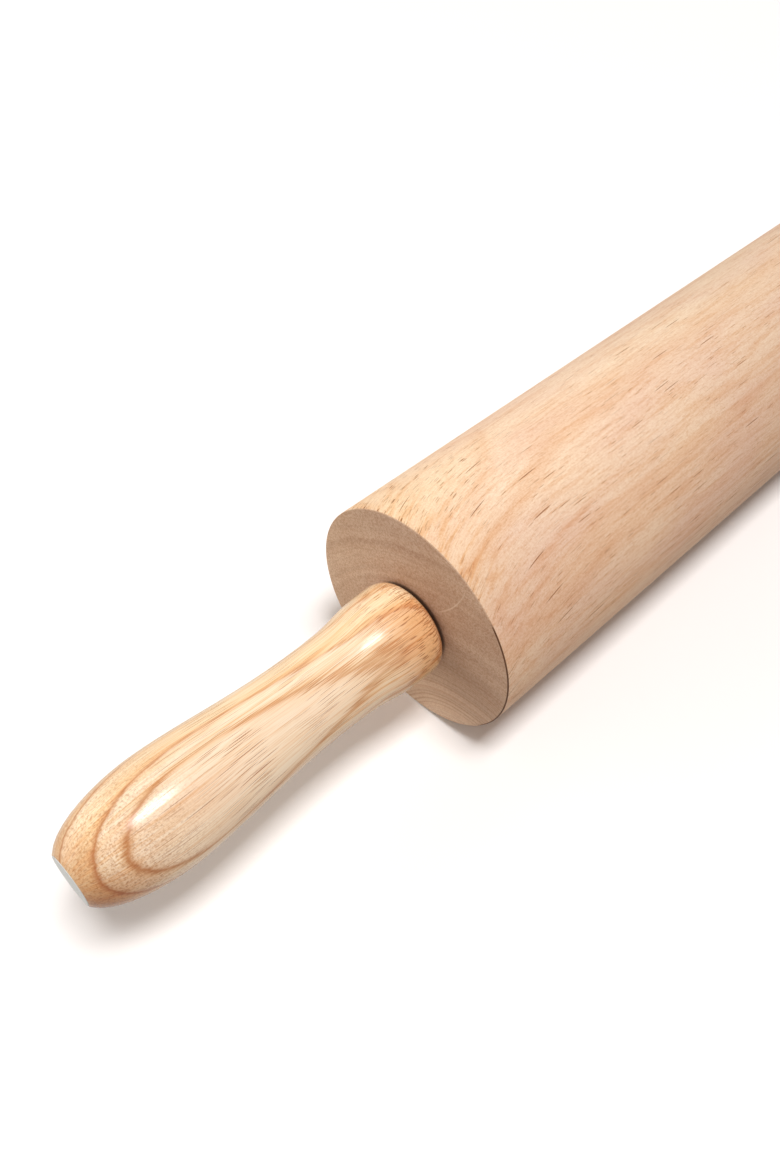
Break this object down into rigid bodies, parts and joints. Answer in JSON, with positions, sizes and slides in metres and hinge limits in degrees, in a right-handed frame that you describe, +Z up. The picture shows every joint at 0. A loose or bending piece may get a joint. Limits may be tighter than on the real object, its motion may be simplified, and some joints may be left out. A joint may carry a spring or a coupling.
{
  "type": "rolling pin",
  "caption": "Wooden rolling pin with a thick plain barrel that runs on ball bearings between turned, lacquered handles clamped on a steel axle.",
  "frame": {"origin": "middle of the barrel, on its axis", "axes": "+X along the axle, +Z up when the pin lies on a table; the handles are at -X (left) and +X (right)"},
  "size_m": [0.4712, 0.07, 0.07],
  "materials": {
    "barrel_wood": "bare pale hardwood, fine sanded, with short dark pores along the axis",
    "handle_wood": "honey-coloured hardwood under a clear gloss lacquer",
    "axle_steel": "zinc-plated, satin",
    "bearing_steel": "ground and polished",
    "shield_steel": "pressed, satin",
    "cage_plastic": "natural nylon",
    "bush_plastic": "natural nylon",
    "insert_nylon": "blue nylon",
    "cap_plastic": "pale grey, semi-gloss moulding"
  },
  "bodies": {
    "barrel": {"barrel": "barrel_wood", "left_bearing_outer_ring": "bearing_steel", "left_outer_shield": "shield_steel", "left_inner_shield": "shield_steel", "right_bearing_outer_ring": "bearing_steel", "right_outer_shield": "shield_steel", "right_inner_shield": "shield_steel"},
    "handles": {"axle_rod": "axle_steel", "left_handle": "handle_wood", "left_handle_bush": "bush_plastic", "left_axle_washer": "axle_steel", "left_lock_nut": "axle_steel", "left_nut_insert": "insert_nylon", "left_end_cap": "cap_plastic", "left_bearing_inner_ring": "bearing_steel", "right_handle": "handle_wood", "right_handle_bush": "bush_plastic", "right_axle_washer": "axle_steel", "right_lock_nut": "axle_steel", "right_nut_insert": "insert_nylon", "right_end_cap": "cap_plastic", "right_bearing_inner_ring": "bearing_steel"},
    "left_ball_set": {"left_bearing_balls": "bearing_steel", "left_ball_cage": "cage_plastic"},
    "right_ball_set": {"right_bearing_balls": "bearing_steel", "right_ball_cage": "cage_plastic"}
  },
  "joints": [
    {"name": "handle_spin", "type": "hinge", "parent": "barrel", "child": "handles", "pos_m": [0, 0, 0], "axis": [1, 0, 0], "continuous": true},
    {"name": "left_ball_orbit", "type": "hinge", "parent": "barrel", "child": "left_ball_set", "pos_m": [-0.123, 0, 0], "axis": [1, 0, 0], "continuous": true},
    {"name": "right_ball_orbit", "type": "hinge", "parent": "barrel", "child": "right_ball_set", "pos_m": [0.123, 0, 0], "axis": [1, 0, 0], "continuous": true}
  ],
  "couplings": [
    {"joint": "left_ball_orbit", "follows": "handle_spin", "ratio": 0.35863},
    {"joint": "right_ball_orbit", "follows": "handle_spin", "ratio": 0.35863}
  ]
}
